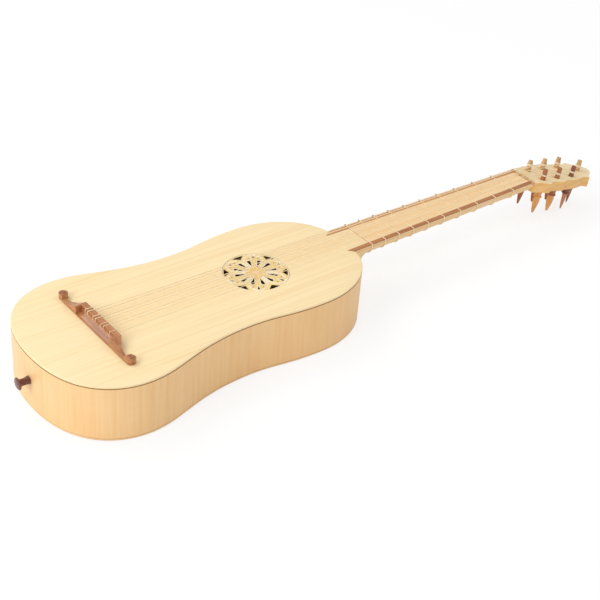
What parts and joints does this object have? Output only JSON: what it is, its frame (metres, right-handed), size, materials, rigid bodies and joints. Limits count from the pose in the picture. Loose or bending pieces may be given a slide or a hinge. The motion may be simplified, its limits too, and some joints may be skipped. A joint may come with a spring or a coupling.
{
  "type": "renaissance guitar",
  "caption": "Small waisted plucked instrument with a carved rose, tied frets, leaf-handled pegs in a flat tilted head and a tie bridge with scrolled arms; rests on its flat back.",
  "frame": {"origin": "under the middle of the whole guitar's box, at the level of the flat back's outer face", "axes": "+Y along the neck towards the head, +Z out of the soundboard, +X towards the treble side"},
  "size_m": [0.1838, 0.7582, 0.0713],
  "materials": {
    "spruce": "satin oil varnish, straight fine grain",
    "flamed_maple": "satin oil varnish over cross flame",
    "pale_maple": "satin",
    "plum_wood": "satin",
    "dark_plum_wood": "polished",
    "rose_pearwood": "matt, knife cut",
    "willow": "bare",
    "gut": "smooth, slightly shiny",
    "iron": "forged",
    "peg_light_plum": "polished",
    "peg_red_plum": "polished"
  },
  "bodies": {
    "guitar": {"soundboard": "spruce", "back": "flamed_maple", "rib_bass": "flamed_maple", "rib_treble": "flamed_maple", "neck": "pale_maple", "fingerboard": "pale_maple", "peg_head": "pale_maple", "edge_strip_bass": "plum_wood", "edge_strip_treble": "plum_wood", "nut": "plum_wood", "bridge": "plum_wood", "end_pin": "dark_plum_wood", "rosette": "rose_pearwood", "neck_nail": "iron", "lining_top_bass": "willow", "lining_top_treble": "willow", "lining_back_bass": "willow", "lining_back_treble": "willow", "tail_block": "willow", "neck_block": "willow", "top_bar_upper": "willow", "top_bar_waist": "willow", "top_bar_lower": "willow", "back_bar_lower": "willow", "back_bar_waist": "willow", "back_bar_upper": "willow", "rose_seat_ring": "willow", "string_4a": "gut", "string_4b": "gut", "string_3a": "gut", "string_3b": "gut", "string_2a": "gut", "string_2b": "gut", "string_1": "gut"},
    "peg_body_4a": {"peg_4a": "peg_red_plum", "winding_4a": "gut"},
    "peg_body_4b": {"peg_4b": "peg_light_plum", "winding_4b": "gut"},
    "peg_body_3a": {"peg_3a": "peg_red_plum", "winding_3a": "gut"},
    "peg_body_3b": {"peg_3b": "peg_red_plum", "winding_3b": "gut"},
    "peg_body_2a": {"peg_2a": "peg_red_plum", "winding_2a": "gut"},
    "peg_body_2b": {"peg_2b": "peg_light_plum", "winding_2b": "gut"},
    "peg_body_1": {"peg_1": "peg_light_plum", "winding_1": "gut"},
    "fret_body_01": {"fret_01": "gut"},
    "fret_body_02": {"fret_02": "gut"},
    "fret_body_03": {"fret_03": "gut"},
    "fret_body_04": {"fret_04": "gut"},
    "fret_body_05": {"fret_05": "gut"},
    "fret_body_06": {"fret_06": "gut"},
    "fret_body_07": {"fret_07": "gut"},
    "fret_body_08": {"fret_08": "gut"},
    "fret_body_09": {"fret_09": "gut"},
    "fret_body_10": {"fret_10": "gut"}
  },
  "joints": [
    {"name": "peg_4a_turn", "type": "hinge", "parent": "guitar", "child": "peg_body_4a", "pos_m": [-0.012, 0.31084, 0.05173], "axis": [0, 0.1925, 0.9813], "continuous": true},
    {"name": "peg_4b_turn", "type": "hinge", "parent": "guitar", "child": "peg_body_4b", "pos_m": [-0.012, 0.28611, 0.05658], "axis": [0, 0.1925, 0.9813], "continuous": true},
    {"name": "peg_3a_turn", "type": "hinge", "parent": "guitar", "child": "peg_body_3a", "pos_m": [-0.012, 0.33557, 0.04688], "axis": [0, 0.1925, 0.9813], "continuous": true},
    {"name": "peg_3b_turn", "type": "hinge", "parent": "guitar", "child": "peg_body_3b", "pos_m": [0, 0.35971, 0.04214], "axis": [0, 0.1925, 0.9813], "continuous": true},
    {"name": "peg_2a_turn", "type": "hinge", "parent": "guitar", "child": "peg_body_2a", "pos_m": [0.012, 0.33557, 0.04688], "axis": [0, 0.1925, 0.9813], "continuous": true},
    {"name": "peg_2b_turn", "type": "hinge", "parent": "guitar", "child": "peg_body_2b", "pos_m": [0.012, 0.31084, 0.05173], "axis": [0, 0.1925, 0.9813], "continuous": true},
    {"name": "peg_1_turn", "type": "hinge", "parent": "guitar", "child": "peg_body_1", "pos_m": [0.012, 0.28611, 0.05658], "axis": [0, 0.1925, 0.9813], "continuous": true},
    {"name": "fret_01_slide", "type": "slide", "parent": "guitar", "child": "fret_body_01", "axis": [0, 1, 0], "range_m": [-0.003, 0.003]},
    {"name": "fret_02_slide", "type": "slide", "parent": "guitar", "child": "fret_body_02", "axis": [0, 1, 0], "range_m": [-0.003, 0.003]},
    {"name": "fret_03_slide", "type": "slide", "parent": "guitar", "child": "fret_body_03", "axis": [0, 1, 0], "range_m": [-0.003, 0.003]},
    {"name": "fret_04_slide", "type": "slide", "parent": "guitar", "child": "fret_body_04", "axis": [0, 1, 0], "range_m": [-0.003, 0.003]},
    {"name": "fret_05_slide", "type": "slide", "parent": "guitar", "child": "fret_body_05", "axis": [0, 1, 0], "range_m": [-0.003, 0.003]},
    {"name": "fret_06_slide", "type": "slide", "parent": "guitar", "child": "fret_body_06", "axis": [0, 1, 0], "range_m": [-0.003, 0.003]},
    {"name": "fret_07_slide", "type": "slide", "parent": "guitar", "child": "fret_body_07", "axis": [0, 1, 0], "range_m": [-0.003, 0.003]},
    {"name": "fret_08_slide", "type": "slide", "parent": "guitar", "child": "fret_body_08", "axis": [0, 1, 0], "range_m": [-0.003, 0.003]},
    {"name": "fret_09_slide", "type": "slide", "parent": "guitar", "child": "fret_body_09", "axis": [0, 1, 0], "range_m": [-0.003, 0.003]},
    {"name": "fret_10_slide", "type": "slide", "parent": "guitar", "child": "fret_body_10", "axis": [0, 1, 0], "range_m": [-0.003, 0.003]}
  ]
}
